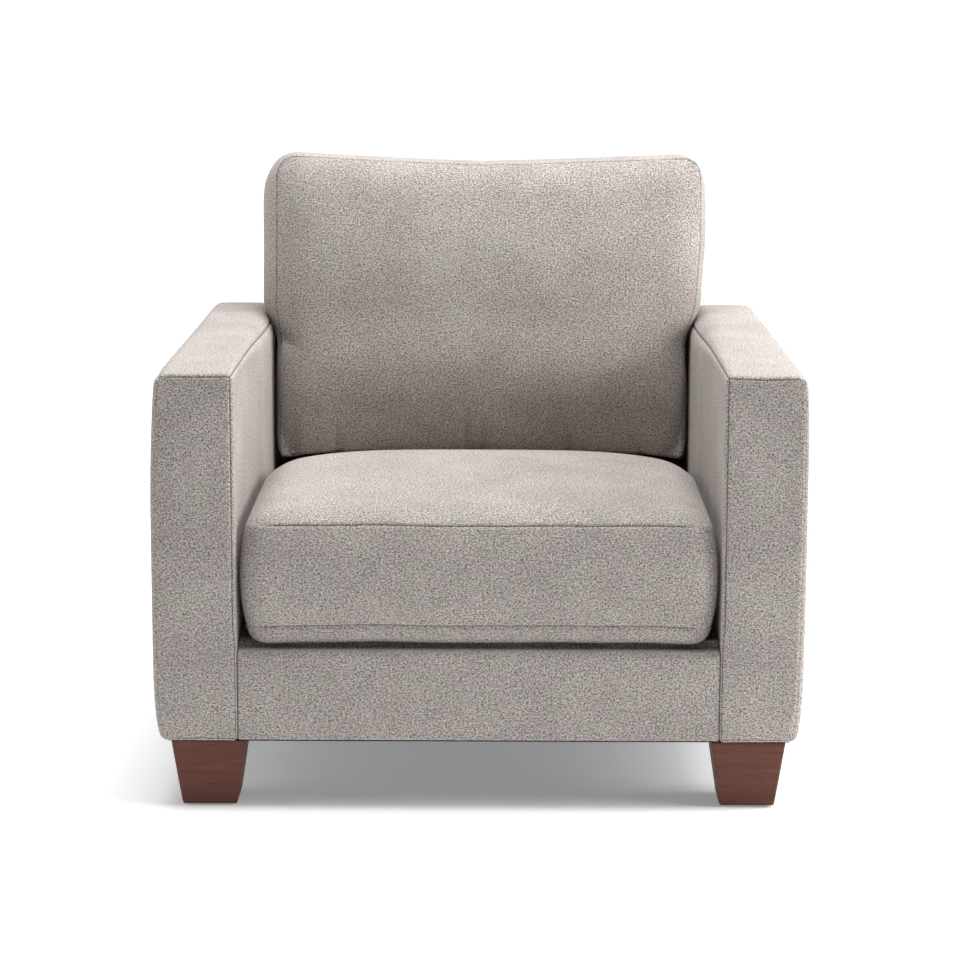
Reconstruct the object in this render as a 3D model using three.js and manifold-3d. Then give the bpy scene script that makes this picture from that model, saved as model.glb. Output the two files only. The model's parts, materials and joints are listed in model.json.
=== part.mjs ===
// An upholstered armchair with square padded arms, a loose boxed seat cushion, a loose boxed back
// cushion and four tapered block legs. Inside are the plywood frame, the sinuous seat springs, the
// back webbing, the padding and the bolts that hold the legs.
//
// Millimetres, +Z up. The origin is on the floor under the middle of the chair and the front faces
// -Y. "left" and "right" are as seen from the front, so left is -X.
import * as THREE from "three";
import { RoundedBoxGeometry } from "three/addons/geometries/RoundedBoxGeometry.js";
import { mergeVertices } from "three/addons/utils/BufferGeometryUtils.js";
import Module from "manifold-3d";

const wasm = await Module();
wasm.setup();

// ---------------------------------------------------------------- driving dimensions

const overall = { width: 876, depth: 870, height: 857 };
const armWidth = 109.5;
const armTop = 602;
const baseBottom = 98; // underside of the upholstery
const deckTop = 233; // cloth that the seat cushion lies on
const frontRailTop = 234;
const backFrameTop = 772;
const backTilt = THREE.MathUtils.degToRad(5);

const gap = 0.5; // between neighbours that touch
const fabric = 2.5; // a cover with its lining
const padding = 9; // foam over the frame
const board = 22; // plywood of the arm frames
const railThickness = 25;
const past = 5; // how far a cutter reaches beyond what it cuts

const front = -overall.depth / 2;
const rear = overall.depth / 2;
const openingHalf = overall.width / 2 - armWidth; // from the middle to an arm's inner face
const insideBackY = 352; // front of the inside back at deck height
const sides = { left: -1, right: 1 };

// ---------------------------------------------------------------- materials

const material = (color, roughness, metalness = 0) =>
  new THREE.MeshStandardMaterial({ color, roughness, metalness });

const upholstery = material(0xa8a19b, 0.95);
const lining = material(0x8d8780, 0.95);
const foam = material(0xe4ddc4, 1.0);
const felt = material(0x6f6a66, 1.0);
const cambric = material(0x18181a, 0.95);
const webbing = material(0x39342f, 0.9);
const plywood = material(0xc9a878, 0.75);
const stainedWood = material(0x5a372d, 0.5);
const steel = material(0x9a9da0, 0.35, 1.0);
const plastic = material(0x26221f, 0.6);
const nylon = material(0x8b857f, 0.7);
const zipMetal = material(0x8f8f92, 0.4, 1.0);

// ---------------------------------------------------------------- helpers

function mesh(name, geometry, itsMaterial, x = 0, y = 0, z = 0) {
  const made = new THREE.Mesh(geometry, itsMaterial);
  made.name = name;
  made.position.set(x, y, z);
  return made;
}

function group(...children) {
  return new THREE.Group().add(...children.flat());
}

// A box between two limits on each axis, as geometry in the part's frame.
function boxBetween([x0, x1], [y0, y1], [z0, z1]) {
  const geometry = new THREE.BoxGeometry(x1 - x0, y1 - y0, z1 - z0);
  return geometry.translate((x0 + x1) / 2, (y0 + y1) / 2, (z0 + z1) / 2);
}

// An outline in the YZ plane, extruded along X over the given half width about centre.
function prismAlongX(outline, halfWidth, centre = 0) {
  const shape = new THREE.Shape(outline.map(([y, z]) => new THREE.Vector2(y, z)));
  return alongX(shape, halfWidth, centre);
}

function alongX(shape, halfWidth, centre = 0) {
  const geometry = new THREE.ExtrudeGeometry(shape, {
    depth: 2 * halfWidth,
    bevelEnabled: false,
    curveSegments: 5,
  });
  // the extrusion runs along Z: turn Z to X, X to Y and Y to Z
  const turn = new THREE.Matrix4().makeBasis(
    new THREE.Vector3(0, 1, 0),
    new THREE.Vector3(0, 0, 1),
    new THREE.Vector3(1, 0, 0),
  );
  return geometry.applyMatrix4(turn).translate(centre - halfWidth, 0, 0);
}

function solid(geometry) {
  const plain = geometry.index ? geometry.toNonIndexed() : geometry.clone();
  plain.deleteAttribute("normal");
  plain.deleteAttribute("uv");
  const merged = mergeVertices(plain, 1e-3);
  return new wasm.Manifold(
    new wasm.Mesh({
      numProp: 3,
      vertProperties: new Float32Array(merged.attributes.position.array),
      triVerts: new Uint32Array(merged.index.array),
    }),
  );
}

// The first geometry less all the others.
function cut(geometry, ...cutters) {
  let made = solid(geometry);
  for (const cutter of cutters) made = made.subtract(solid(cutter));
  return geometryOf(made);
}

function join(...geometries) {
  return geometryOf(geometries.map(solid).reduce((a, b) => a.add(b)));
}

function geometryOf(manifold) {
  const got = manifold.getMesh();
  const positions = new Float32Array(got.numVert * 3);
  for (let i = 0; i < got.numVert; i++) {
    for (let k = 0; k < 3; k++) positions[3 * i + k] = got.vertProperties[got.numProp * i + k];
  }
  const geometry = new THREE.BufferGeometry();
  geometry.setAttribute("position", new THREE.BufferAttribute(positions, 3));
  geometry.setIndex(new THREE.BufferAttribute(new Uint32Array(got.triVerts), 1));
  geometry.computeVertexNormals();
  return geometry;
}

// A round rod or hole along Z.
function rod(radius, z0, z1, x = 0, y = 0, segments = 16) {
  const geometry = new THREE.CylinderGeometry(radius, radius, z1 - z0, segments);
  return geometry.rotateX(Math.PI / 2).translate(x, y, (z0 + z1) / 2);
}

// ---------------------------------------------------------------- legs

const leg = {
  top: 102, // side of the square top
  bottom: 75, // side of the square foot
  sideInset: 18, // from the outer faces of the arms
  endInset: 12, // from the front and the rear
  glide: 2.2, // height of the glide that the leg stands on
};
const dustCover = { top: baseBottom - 0.3, thickness: 1, sideInset: 14, endInset: 8 };
const legTopZ = dustCover.top - dustCover.thickness - 0.3;
const legBolt = { radius: 4, bottom: 50, top: 130, clearance: 0.4, endGap: 2 };
const glide = { radius: 13, stemRadius: 2, stemLength: 14 };

const legX = overall.width / 2 - leg.sideInset - leg.top / 2;
const legY = overall.depth / 2 - leg.endInset - leg.top / 2;
const corners = [
  ["front_left", -1, -1],
  ["front_right", 1, -1],
  ["rear_left", -1, 1],
  ["rear_right", 1, 1],
];

function boltHole(z0, z1, x, y) {
  return rod(legBolt.radius + legBolt.clearance, z0, z1, x, y);
}

function legGeometry() {
  const height = legTopZ - leg.glide;
  const toSide = Math.SQRT1_2; // a square's half side over its corner radius
  const taper = new THREE.CylinderGeometry(
    leg.top / 2 / toSide,
    leg.bottom / 2 / toSide,
    height,
    4,
  );
  taper.rotateY(Math.PI / 4).rotateX(Math.PI / 2).translate(0, 0, leg.glide + height / 2);
  const stemHole = rod(glide.stemRadius + 0.3, 0, leg.glide + glide.stemLength + 1, 0, 0, 10);
  return cut(taper, boltHole(legBolt.bottom - legBolt.endGap, legTopZ + past, 0, 0), stemHole);
}

function glideGeometry() {
  const profile = [
    [0, 0],
    [glide.radius - 0.6, 0],
    [glide.radius, 0.8],
    [glide.radius, leg.glide - 0.3],
    [glide.stemRadius, leg.glide - 0.3],
    [glide.stemRadius, leg.glide + glide.stemLength - 4],
    [0, leg.glide + glide.stemLength],
  ];
  const points = profile.map(([r, z]) => new THREE.Vector2(r, z));
  return new THREE.LatheGeometry(points, 20).rotateX(Math.PI / 2);
}

function legs() {
  return corners.map(([corner, sx, sy]) => {
    const bolt = rod(legBolt.radius, legBolt.bottom, legBolt.top, 0, 0, 12);
    const set = group(
      mesh(`leg_${corner}`, legGeometry(), stainedWood),
      mesh(`leg_bolt_${corner}`, bolt, steel),
      mesh(`glide_${corner}`, glideGeometry(), plastic),
    );
    set.position.set(sx * legX, sy * legY, 0);
    return set;
  });
}

// ---------------------------------------------------------------- arms

const armCorner = 14; // radius along the cover's edges
const armFlange = 20; // fabric turned under the arm
const armCentreX = overall.width / 2 - armWidth / 2;

// A round-edged block with its bottom at z0 and its top at z1, about the Z axis.
function paddedBlock(width, length, z0, z1, radius, segments) {
  const block = new RoundedBoxGeometry(width, length, z1 - z0, segments, radius);
  return block.translate(0, 0, (z0 + z1) / 2);
}

function armCover() {
  const inner = fabric;
  const cavity = paddedBlock(
    armWidth - 2 * inner,
    overall.depth - 2 * inner,
    baseBottom + inner,
    armTop - inner,
    armCorner - inner,
    2,
  );
  const window = boxBetween(
    [-armWidth / 2 + armFlange, armWidth / 2 - armFlange],
    [front + armFlange, rear - armFlange],
    [baseBottom - past, baseBottom + fabric + past],
  );
  const outside = paddedBlock(armWidth, overall.depth, baseBottom, armTop, armCorner, 2);
  return cut(outside, cavity, window);
}

const padInset = fabric + gap;
const armFrameInset = padInset + padding + gap;

function armPadding() {
  const outside = paddedBlock(
    armWidth - 2 * padInset,
    overall.depth - 2 * padInset,
    baseBottom + padInset,
    armTop - padInset,
    armCorner,
    1,
  );
  const inside = boxBetween(
    [-armWidth / 2 + padInset + padding, armWidth / 2 - padInset - padding],
    [front + padInset + padding, rear - padInset - padding],
    [baseBottom - past, armTop - padInset - padding],
  );
  return cut(outside, inside);
}

// One arm: a ring of four boards, the padding round it and the cover over that.
function arm(side, sign) {
  const half = armWidth / 2 - armFrameInset;
  const [y0, y1] = [front + armFrameInset, rear - armFrameInset];
  const bottom = baseBottom + padInset + 2;
  const top = armTop - armFrameInset;
  const across = [-half, half];
  const postZ = [bottom + board + gap, top - board - gap];
  const bottomRail = cut(
    boxBetween(across, [y0, y1], [bottom, bottom + board]),
    ...[-legY, legY].map((y) => boltHole(bottom - past, bottom + board + past, legOffset(sign), y)),
  );
  const set = group(
    mesh(`arm_cover_${side}`, armCover(), upholstery),
    mesh(`arm_padding_${side}`, armPadding(), foam),
    mesh(`arm_bottom_rail_${side}`, bottomRail, plywood),
    mesh(`arm_top_rail_${side}`, boxBetween(across, [y0, y1], [top - board, top]), plywood),
    mesh(`arm_front_post_${side}`, boxBetween(across, [y0, y0 + board], postZ), plywood),
    mesh(`arm_rear_post_${side}`, boxBetween(across, [y1 - board, y1], postZ), plywood),
  );
  set.position.x = sign * armCentreX;
  return set;
}

// How far a leg's middle is from its arm's middle.
function legOffset(sign) {
  return sign * (legX - armCentreX);
}

// ---------------------------------------------------------------- seat frame

const seatRail = { bottom: 101, top: 211 };
const seatHalf = openingHalf - 6.5; // outer faces of the side rails
const postWidth = 30;
const frontRail = { front: front + 12, back: front + 12 + railThickness };
const rearRailFront = insideBackY + 8;
const block = { side: 80, height: 40, below: 6 };
const frontRoll = { depth: 42, radius: 13, lip: 6, hem: 2 }; // padded edge along the front rail

// The cover's outline: from under the rail up the front, over the roll and back to the deck cloth.
function frontRailCoverShape() {
  const [y0, y1] = [front + 1, front + frontRoll.depth];
  const [z0, z1] = [baseBottom + 0.5, frontRailTop];
  const outer = frontRoll.radius;
  const inner = outer - fabric;
  const shape = new THREE.Shape();
  shape.moveTo(y0 + armFlange, z0);
  shape.lineTo(y0, z0);
  shape.lineTo(y0, z1 - outer);
  shape.absarc(y0 + outer, z1 - outer, outer, Math.PI, Math.PI / 2, true);
  shape.lineTo(y1, z1);
  shape.lineTo(y1, z1 - fabric);
  shape.lineTo(y0 + outer, z1 - fabric);
  shape.absarc(y0 + outer, z1 - outer, inner, Math.PI / 2, Math.PI, false);
  shape.lineTo(y0 + fabric, z0 + frontRoll.hem);
  shape.lineTo(y0 + armFlange, z0 + frontRoll.hem);
  return shape;
}

// Foam down the front of the rail, with a roll along its top edge and a lip over the clips.
function frontRailPadding() {
  const y0 = front + 1 + fabric + gap;
  const y1 = front + frontRoll.depth - 1;
  const behindRoll = springY[0] - clip.width / 2 - 1;
  const top = frontRailTop - fabric - gap;
  const facing = frontRail.front - gap;
  return prismAlongX(
    [
      [y0, seatRail.bottom + 1],
      [y0, top - frontRoll.radius],
      [y0 + frontRoll.radius * 0.3, top - frontRoll.radius * 0.3],
      [y0 + frontRoll.radius, top],
      [y1, top],
      [y1, top - frontRoll.lip],
      [behindRoll, top - frontRoll.lip],
      [behindRoll, seatRail.top + gap],
      [facing, seatRail.top + gap],
      [facing, seatRail.bottom + 1],
    ],
    openingHalf - 2,
  );
}

// A triangle that braces a side rail to the front or the rear rail.
function cornerBlock(sx, sy) {
  const cornerX = sx * (seatHalf - railThickness - gap);
  const cornerY = sy < 0 ? frontRail.back + gap : rearRailFront - gap;
  const shape = new THREE.Shape([
    new THREE.Vector2(cornerX, cornerY),
    new THREE.Vector2(cornerX - sx * block.side, cornerY),
    new THREE.Vector2(cornerX, cornerY - sy * block.side),
  ]);
  const extruded = new THREE.ExtrudeGeometry(shape, { depth: block.height, bevelEnabled: false });
  return extruded.translate(0, 0, seatRail.top - block.below - block.height);
}

function seatFrame() {
  const heights = [seatRail.bottom, seatRail.top];
  const sideY = [frontRail.back + gap, insideBackY + 7];
  const sideRails = Object.entries(sides).map(([side, sign]) => {
    const x = [sign * (seatHalf - railThickness), sign * seatHalf].sort((a, b) => a - b);
    return mesh(`seat_side_rail_${side}`, boxBetween(x, sideY, heights), plywood);
  });
  const rearHalf = seatHalf - postWidth - gap;
  const rearY = [rearRailFront, rearRailFront + railThickness];
  const railCover = alongX(frontRailCoverShape(), openingHalf - 1);
  return group(
    mesh(
      "front_rail",
      boxBetween([-seatHalf, seatHalf], [frontRail.front, frontRail.back], heights),
      plywood,
    ),
    mesh("rear_rail", boxBetween([-rearHalf, rearHalf], rearY, heights), plywood),
    sideRails,
    corners.map(([corner, sx, sy]) =>
      mesh(`corner_block_${corner}`, cornerBlock(sx, sy), plywood),
    ),
    mesh("front_rail_padding", frontRailPadding(), foam),
    mesh("front_rail_cover", railCover, upholstery),
  );
}

// ---------------------------------------------------------------- springs and deck

const spring = {
  count: 5,
  wire: 1.9, // radius
  halfWidth: 22,
  loops: 12,
  stepsPerLoop: 8,
  endZ: 216,
  arch: 5,
  pitch: 116, // from one spring to the next
};
const springY = [frontRail.front + 17, rearRailFront + 11];
const clip = {
  strip: 1.2, // thickness
  width: 15, // of the strip, along Y
  hook: 14, // half width of a hook
  hookDepth: 5, // half of it, along Y
  height: 10,
  wireReach: 3, // how far a spring's end goes into its hook, past the wire's middle
  wireGap: 1, // above and below the wire
};
const springPad = { below: 3, thickness: 4 }; // under the deck's top

// A wire that swings from side to side as it runs back, with bars that cross it squarely.
class SinuousCurve extends THREE.Curve {
  getPoint(t, target = new THREE.Vector3()) {
    const phase = 2 * Math.PI * spring.loops * t;
    const length = springY[1] - springY[0];
    const squaring = length / spring.loops / (4 * Math.PI);
    return target.set(
      spring.halfWidth * Math.sin(phase),
      springY[0] + length * t - squaring * Math.sin(2 * phase),
      spring.endZ + spring.arch * Math.sin(Math.PI * t),
    );
  }
}

function springGeometry() {
  const section = new THREE.Shape();
  section.absarc(0, 0, spring.wire, 0, 2 * Math.PI);
  return new THREE.ExtrudeGeometry(section, {
    steps: spring.loops * spring.stepsPerLoop,
    curveSegments: 3,
    bevelEnabled: false,
    extrudePath: new SinuousCurve(),
  });
}

const springXs = Array.from(
  { length: spring.count },
  (_, i) => (i - (spring.count - 1) / 2) * spring.pitch,
);

// The clips of one rail: a hook round each spring's end, on one strip along the rail.
function clipStrip(y, towardsSpring) {
  const reaches = [y - towardsSpring * clip.wireReach, y + towardsSpring * (clip.hookDepth + past)];
  const opening = [Math.min(...reaches), Math.max(...reaches)];
  const z0 = seatRail.top + 0.3;
  const slotHalf = spring.wire + clip.wireGap;
  const reach = springXs.at(-1) + clip.hook;
  const strip = boxBetween(
    [-reach, reach],
    [y - clip.width / 2, y + clip.width / 2],
    [z0, z0 + clip.strip],
  );
  const hooks = springXs.map((x) =>
    boxBetween(
      [x - clip.hook, x + clip.hook],
      [y - clip.hookDepth, y + clip.hookDepth],
      [z0, z0 + clip.height],
    ),
  );
  const slots = springXs.map((x) =>
    boxBetween(
      [x - clip.hook - past, x + clip.hook + past],
      opening,
      [spring.endZ - slotHalf, spring.endZ + slotHalf],
    ),
  );
  return cut(join(strip, ...hooks), ...slots);
}

function deck() {
  const y = [front + frontRoll.depth + gap, insideBackY - 3];
  const padHalf = seatHalf - 2;
  const padTop = deckTop - springPad.below;
  const padZ = [padTop - springPad.thickness, padTop];
  return group(
    springXs.map((x, i) => mesh(`seat_spring_${i + 1}`, springGeometry(), steel, x)),
    mesh("spring_clips_front", clipStrip(springY[0], 1), steel),
    mesh("spring_clips_rear", clipStrip(springY[1], -1), steel),
    mesh("spring_pad", boxBetween([-padHalf, padHalf], y, padZ), felt),
    mesh(
      "deck_cloth",
      boxBetween([-openingHalf + 2, openingHalf - 2], y, [deckTop - fabric, deckTop]),
      lining,
    ),
  );
}

function dustCoverMesh() {
  const x = overall.width / 2 - dustCover.sideInset;
  const y = overall.depth / 2 - dustCover.endInset;
  const z = [dustCover.top - dustCover.thickness, dustCover.top];
  const holes = corners.map(([, sx, sy]) =>
    boltHole(z[0] - past, z[1] + past, sx * legX, sy * legY),
  );
  return mesh("dust_cover", cut(boxBetween([-x, x], [-y, y], z), ...holes), cambric);
}

// ---------------------------------------------------------------- back frame

const backCoverHalf = openingHalf - 2;
const insideWall = 3.5;
const strap = { height: 80, thickness: 2, at: [430, 600], space: 4 };
const topRail = { height: 60, thickness: 24 };
const tuckRail = { height: 40, thickness: 22 };

// Where the front of the inside back is at a height: it leans back above the deck.
function insideBack(z) {
  return insideBackY + (z - deckTop) * Math.tan(backTilt);
}

function backPost(centre) {
  const postFront = insideWall + strap.space;
  const postRear = rear - fabric - gap - 1;
  const top = backFrameTop - insideWall - gap;
  return prismAlongX(
    [
      [insideBackY + postFront, seatRail.bottom],
      [insideBackY + postFront, deckTop],
      [insideBack(top) + postFront, top],
      [postRear, top],
      [postRear, seatRail.bottom],
    ],
    postWidth / 2,
    centre,
  );
}

// Cloth over the front, the two sides and the top of the back frame, open behind and below.
function insideBackCover() {
  const bottom = deckTop + 1;
  const outside = prismAlongX(
    [
      [insideBack(bottom), bottom],
      [insideBack(backFrameTop), backFrameTop],
      [rear - fabric - gap, backFrameTop],
      [rear - fabric - gap, bottom],
    ],
    backCoverHalf,
  );
  const under = bottom - past;
  const top = backFrameTop - insideWall;
  const inside = prismAlongX(
    [
      [insideBack(under) + insideWall, under],
      [insideBack(top) + insideWall, top],
      [rear + past, top],
      [rear + past, under],
    ],
    backCoverHalf - insideWall,
  );
  return cut(outside, inside);
}

// An elastic strap across the posts, leaning with them.
function backStrap(z) {
  const geometry = new THREE.BoxGeometry(2 * seatHalf - 6, strap.thickness, strap.height);
  geometry.rotateX(-backTilt);
  return geometry.translate(0, insideBack(z) + insideWall + 0.6 + strap.thickness / 2, z);
}

function backFrame() {
  const railHalf = seatHalf - postWidth - gap;
  const x = [-railHalf, railHalf];
  const postMiddle = seatHalf - postWidth / 2;
  const topZ = [backFrameTop - 5 - topRail.height, backFrameTop - 5];
  const topY = [rear - 4 - topRail.thickness, rear - 4];
  const tuckZ = [deckTop + 10, deckTop + 10 + tuckRail.height];
  const tuckFront = insideBack(tuckZ[1]) + insideWall + strap.space + gap;
  const tuckY = [tuckFront, tuckFront + tuckRail.thickness];
  return group(
    Object.entries(sides).map(([side, sign]) =>
      mesh(`back_post_${side}`, backPost(sign * postMiddle), plywood),
    ),
    mesh("back_top_rail", boxBetween(x, topY, topZ), plywood),
    mesh("back_tuck_rail", boxBetween(x, tuckY, tuckZ), plywood),
    strap.at.map((z, i) => mesh(`back_strap_${i + 1}`, backStrap(z), webbing)),
    mesh("inside_back_cover", insideBackCover(), upholstery),
    mesh(
      "outside_back_panel",
      boxBetween(
        [-backCoverHalf, backCoverHalf],
        [rear - fabric, rear],
        [baseBottom + 0.5, backFrameTop],
      ),
      upholstery,
    ),
  );
}

// ---------------------------------------------------------------- cushions

// A boxed cushion about its own middle: width along X, length along Y, thickness along Z.
// u, v and w run from -1 to 1 over the width, the length and the boxing. less shrinks it all round.
function pillow(shape, less = 0) {
  const geometry = new THREE.BoxGeometry(2, 2, 2, ...shape.segments);
  const position = geometry.attributes.position;
  const high = shape.boxing / 2 - less;
  for (let i = 0; i < position.count; i++) {
    const [u, v, w] = [position.getX(i), position.getY(i), position.getZ(i)];
    const belly = 1 - w * w;
    const bulgeX = Math.abs(u) === 1 ? u * shape.sideBulge(v) * belly : 0;
    const bulgeY = Math.abs(v) === 1 ? v * shape.endBulge(v) * belly : 0;
    const x = u * (shape.width / 2 - less + shape.edgeX(v)) + bulgeX;
    const y = v * (shape.length / 2 - less + shape.edgeY(u, v)) + bulgeY;
    const crown = w === 1 ? shape.crownTop(u, v) : 0;
    const hang = w === -1 ? shape.crownBottom(u, v) : 0;
    const sink = (shape.sink(u, v) * (w + 1)) / 2;
    position.setXYZ(i, x, y, w * high + crown - hang - sink);
  }
  return geometry;
}

const cover = { wall: 3, clear: 1 };
const zip = {
  half: 250, // half its length
  height: 10,
  tape: 3, // thickness of the tape and the seam allowances behind it
  teeth: 1.2, // how far the teeth stand out
  slider: [12, 5, 8], // length, depth and height
  pull: [26, 1.4, 6], // length, thickness and width
};
const zipStart = -zip.half + 14; // the slider's place when the zip is closed

// The cover is a closed bag with one slit, which the zip fills. The zip lies in the boxing at the
// given end: sign 1 or -1 along Y.
function cushionPieces(prefix, shape, sign) {
  const face = sign * (shape.length / 2 + (shape.endBulge(sign) * 8) / 9);
  const out = (a, b) => [face + sign * a, face + sign * b].sort((p, q) => p - q);
  const around = (half) => [shape.zipZ - half, shape.zipZ + half];
  const slit = boxBetween([-zip.half, zip.half], out(-30, 30), around(zip.height / 2));
  const tapeX = [-zip.half + gap, zip.half - gap];
  const tape = join(
    boxBetween(tapeX, out(-zip.tape, 0), around(zip.height / 2 - gap)),
    boxBetween(tapeX, out(-0.5, zip.teeth), around(1.5)),
  );
  const bag = cut(pillow(shape), pillow(shape, cover.wall), slit);
  const core = cut(
    pillow(shape, cover.wall + cover.clear),
    boxBetween([-zip.half - 10, zip.half + 10], out(-zip.tape - 1, 30), around(zip.height)),
  );
  const slider = sliderGeometry(out, around);
  return group(
    mesh(`${prefix}_cushion_cover`, bag, upholstery),
    mesh(`${prefix}_cushion_core`, core, foam),
    mesh(`${prefix}_zip_tape`, tape, nylon),
    mesh(`${prefix}_zip_slider`, slider, zipMetal, zipStart),
  );
}

// The slider's body stands just off the teeth, and its pull lies along them.
function sliderGeometry(out, around) {
  const [long, deep, high] = zip.slider;
  const [pullLength, pullThickness, pullWidth] = zip.pull;
  const foot = zip.teeth + gap;
  const pullX = long / 2 - 3;
  return join(
    boxBetween([-long / 2, long / 2], out(foot, foot + deep), around(high / 2)),
    boxBetween(
      [pullX, pullX + pullLength],
      out(foot + deep - pullThickness - 1, foot + deep - 1),
      around(pullWidth / 2),
    ),
  );
}

const { smoothstep } = THREE.MathUtils;

const seatCushion = {
  width: 632,
  length: 756,
  boxing: 133,
  segments: [10, 12, 3],
  zipZ: -15,
  edgeX: (v) => (v > 0 ? -22 : -4) * v ** 14, // rear corners are rounder than front ones
  edgeY: (u, v) => (v > 0 ? -22 : -4) * u ** 14,
  sideBulge: () => 6,
  endBulge: (v) => (v < 0 ? 12 : 4),
  crownTop: (u, v) => 44.5 * (1 - u ** 4) * (1 - v * v),
  hang: 27.4, // how far the underside sags below the lower seam
  crownBottom: (u, v) => seatCushion.hang * (1 - u ** 8) * (1 - v ** 8),
  // the back cushion presses the rear half down
  sink: (u, v) => (30 + 8 * u * u) * smoothstep(v, -0.1, 0.8),
};
const seatCushionAt = { y: -42, z: deckTop + 1.6 + seatCushion.hang + seatCushion.boxing / 2 };

const backCushion = {
  width: 650,
  length: 442,
  boxing: 105,
  segments: [10, 10, 3],
  zipZ: 0,
  // it swells above the arms, which hold it in below, and its top corners stand up like ears
  edgeX: (v) => 4 * smoothstep(v, -0.1, 0.4) - 12 * v ** 14,
  edgeY: (u, v) => (v > 0 ? 4 + 24 * u ** 4 - 34 * u ** 16 : -6 * u ** 14),
  sideBulge: (v) => 1 + 13 * smoothstep(v, -0.1, 0.25),
  endBulge: (v) => (v > 0 ? 6 : 10),
  crownTop: (u, v) => 47 * (1 - u ** 4) * (1 - v ** 4),
  crownBottom: (u, v) => 16 * (1 - u ** 4) * (1 - v ** 4),
  sink: () => 0,
};
// its ears reach the overall height
const backCushionAt = { y: 314.5, z: overall.height - 240 };

function cushions() {
  const seat = cushionPieces("seat", seatCushion, 1);
  seat.position.set(0, seatCushionAt.y, seatCushionAt.z);
  const back = cushionPieces("back", backCushion, -1);
  back.rotation.x = Math.PI / 2 - backTilt; // stands the cushion up, leaning back
  back.position.set(0, backCushionAt.y, backCushionAt.z);
  return group(seat, back);
}

// ---------------------------------------------------------------- the chair

const chair = group(
  legs(),
  Object.entries(sides).map(([side, sign]) => arm(side, sign)),
  seatFrame(),
  deck(),
  dustCoverMesh(),
  backFrame(),
  cushions(),
);

export default chair;
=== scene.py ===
"""Looks of the upholstered armchair: padded fabric covers, cushions, wooden legs, zips, studio.

Metres, +Z up, the chair faces -Y. "left" is -X, as seen from the front.
"""
import json
import math

import bpy
import numpy as np
from mathutils import Matrix, Vector
from mathutils.kdtree import KDTree


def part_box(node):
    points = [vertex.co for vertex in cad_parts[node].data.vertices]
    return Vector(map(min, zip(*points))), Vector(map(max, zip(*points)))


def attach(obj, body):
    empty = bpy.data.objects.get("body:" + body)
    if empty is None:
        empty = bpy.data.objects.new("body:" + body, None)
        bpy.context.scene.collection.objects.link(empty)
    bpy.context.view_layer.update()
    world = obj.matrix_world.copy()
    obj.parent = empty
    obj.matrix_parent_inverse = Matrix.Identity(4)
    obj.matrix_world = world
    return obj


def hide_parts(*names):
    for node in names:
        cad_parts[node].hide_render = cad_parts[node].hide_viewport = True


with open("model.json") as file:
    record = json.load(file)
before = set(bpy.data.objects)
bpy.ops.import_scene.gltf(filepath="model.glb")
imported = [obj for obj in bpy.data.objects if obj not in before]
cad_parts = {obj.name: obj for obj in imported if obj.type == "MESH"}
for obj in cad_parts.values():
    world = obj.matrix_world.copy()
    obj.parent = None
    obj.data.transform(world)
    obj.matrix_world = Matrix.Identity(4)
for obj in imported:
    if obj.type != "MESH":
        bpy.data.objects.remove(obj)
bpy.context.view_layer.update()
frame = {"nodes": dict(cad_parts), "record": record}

MM = 0.001
LEFT, RIGHT = -1, 1
SIDES = {"left": LEFT, "right": RIGHT}


# ---------------------------------------------------------------- camera, floor and light

CAMERA_AT = (0.017, -4.225, 1.110)
PITCH, YAW, ROLL = (math.radians(a) for a in (9.73, 0.237, 0.151))
LENS_MM, SENSOR_MM = 107.6, 36

FLOOR_REACH = 20  # how far the floor runs to the front and to either side
FLOOR_END = 3.2  # where it starts to curve up behind the chair
CURVE_RADIUS, CURVE_STEPS = 1.6, 12
WALL_TOP = 7


def add_camera():
    data = bpy.data.cameras.new("camera")
    data.lens = LENS_MM
    data.sensor_width = SENSOR_MM
    data.clip_end = 60
    ahead = Vector((-math.sin(YAW) * math.cos(PITCH), math.cos(YAW) * math.cos(PITCH), -math.sin(PITCH)))
    level = Vector((math.cos(YAW), math.sin(YAW), 0))
    above = level.cross(ahead)
    right = level * math.cos(ROLL) + above * math.sin(ROLL)
    up = above * math.cos(ROLL) - level * math.sin(ROLL)
    camera = bpy.data.objects.new("camera", data)
    camera.matrix_world = Matrix.Translation(CAMERA_AT) @ Matrix((right, up, -ahead)).transposed().to_4x4()
    bpy.context.scene.collection.objects.link(camera)
    bpy.context.scene.camera = camera


def add_area_light(name, at, target, size, watts):
    data = bpy.data.lights.new(name, "AREA")
    data.shape = "RECTANGLE"
    data.size, data.size_y = size
    data.energy = watts
    light = bpy.data.objects.new(name, data)
    light.location = at
    light.rotation_euler = (Vector(target) - Vector(at)).to_track_quat("-Z", "Y").to_euler()
    bpy.context.scene.collection.objects.link(light)


def add_backdrop():
    """A pale floor that curves up into a wall."""
    sweep = [(-FLOOR_REACH, 0), (FLOOR_END, 0)]
    for i in range(1, CURVE_STEPS + 1):
        turn = i / CURVE_STEPS * math.pi / 2
        sweep.append((FLOOR_END + CURVE_RADIUS * math.sin(turn), CURVE_RADIUS * (1 - math.cos(turn))))
    sweep.append((FLOOR_END + CURVE_RADIUS, WALL_TOP))
    points = [(x, y, z) for y, z in sweep for x in (-FLOOR_REACH, FLOOR_REACH)]
    quads = [(2 * i, 2 * i + 1, 2 * i + 3, 2 * i + 2) for i in range(len(sweep) - 1)]
    mesh = bpy.data.meshes.new("backdrop")
    mesh.from_pydata(points, [], quads)
    mesh.shade_smooth()
    backdrop = bpy.data.objects.new("backdrop", mesh)
    bpy.context.scene.collection.objects.link(backdrop)
    backdrop.data.materials.append(backdrop_material())


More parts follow.
